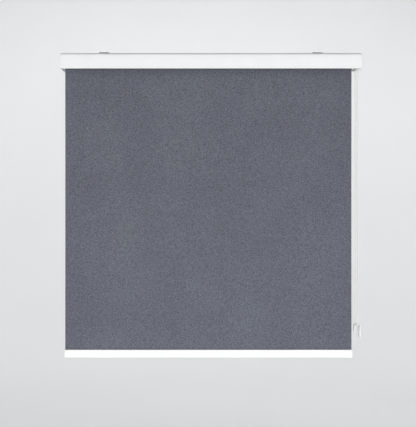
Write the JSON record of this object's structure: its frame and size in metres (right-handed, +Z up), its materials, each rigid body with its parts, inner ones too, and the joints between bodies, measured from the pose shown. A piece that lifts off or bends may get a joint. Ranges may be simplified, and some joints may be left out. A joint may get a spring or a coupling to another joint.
{
  "type": "roller blind",
  "caption": "Chain-operated roller blind in a small white cassette, with blue-grey cloth fully down, a flat bottom bar, an endless bead chain and a chain clip on the reveal.",
  "frame": {"origin": "centre of the four ceiling screws, on the ceiling face of the brackets", "axes": "+X towards the chain side along the cassette, -Y towards the room, +Z up"},
  "size_m": [0.84, 0.047, 0.861],
  "materials": {
    "white_profile": "white powder coat, satin",
    "white_moulding": "white moulded, fine texture",
    "fabric": "blue-grey woven blackout cloth",
    "chain": "white polyester bead chain",
    "bracket_steel": "zinc plated",
    "bare_aluminium": "mill finish",
    "grey_moulding": "grey acetal",
    "spring_steel": "oiled spring steel",
    "batten": "clear-white PVC strip"
  },
  "bodies": {
    "root": {"headrail": "white_profile", "front_fascia": "white_profile", "end_cap_left": "white_moulding", "end_cap_right": "white_moulding", "end_cap_screws": "bracket_steel", "bracket_plate_left": "bracket_steel", "bracket_plate_right": "bracket_steel", "drive_housing": "white_moulding", "retaining_washer": "spring_steel", "retaining_screw": "bracket_steel", "idle_bush": "grey_moulding", "fabric_drop": "fabric", "bead_chain": "chain", "chain_clip": "white_moulding"},
    "roller": {"roller_tube": "bare_aluminium", "fabric_key": "batten", "fabric_roll": "fabric", "drive_crown": "grey_moulding", "idle_plug": "grey_moulding", "idle_spring": "spring_steel"},
    "chain_wheel": {"chain_wheel": "grey_moulding", "wrap_springs": "spring_steel"},
    "bottom_bar": {"bar_profile": "white_profile", "bar_batten": "batten", "bar_cap_left": "white_moulding", "bar_cap_right": "white_moulding"},
    "connector": {"chain_connector": "chain"},
    "idle_pin": {"idle_pin": "bracket_steel"},
    "lever_left": {"bracket_lever_left": "white_moulding"},
    "lever_right": {"bracket_lever_right": "white_moulding"}
  },
  "joints": [
    {"name": "bar_lift", "type": "slide", "parent": "root", "child": "bottom_bar", "axis": [0, 0, 1], "range_m": [0, 0.7476], "deforming": ["fabric_drop"]},
    {"name": "roller_spin", "type": "hinge", "parent": "root", "child": "roller", "pos_m": [0, -0.0115, -0.0264], "axis": [1, 0, 0], "range_deg": [0, 2663.9]},
    {"name": "chain_wheel_spin", "type": "hinge", "parent": "root", "child": "chain_wheel", "pos_m": [0, -0.0115, -0.0264], "axis": [1, 0, 0], "range_deg": [0, 2663.9]},
    {"name": "connector_travel", "type": "slide", "parent": "root", "child": "connector", "axis": [0, 0, 1], "range_m": [0, 0.5829]},
    {"name": "idle_pin_slide", "type": "slide", "parent": "root", "child": "idle_pin", "axis": [1, 0, 0], "range_m": [0, 0.005], "stiffness_N_per_m": 600, "springref_m": -0.005, "deforming": ["idle_spring"]},
    {"name": "lever_left_swing", "type": "hinge", "parent": "root", "child": "lever_left", "pos_m": [-0.3, 0, -0.003], "axis": [0, 0, 1], "range_deg": [0, 90]},
    {"name": "lever_right_swing", "type": "hinge", "parent": "root", "child": "lever_right", "pos_m": [0.3, 0, -0.003], "axis": [0, 0, 1], "range_deg": [-90, 0]}
  ],
  "couplings": [
    {"joint": "roller_spin", "follows": "bar_lift", "rad_per_m": 62.189},
    {"joint": "chain_wheel_spin", "follows": "bar_lift", "rad_per_m": 62.189},
    {"joint": "connector_travel", "follows": "bar_lift", "ratio": 0.77959}
  ]
}
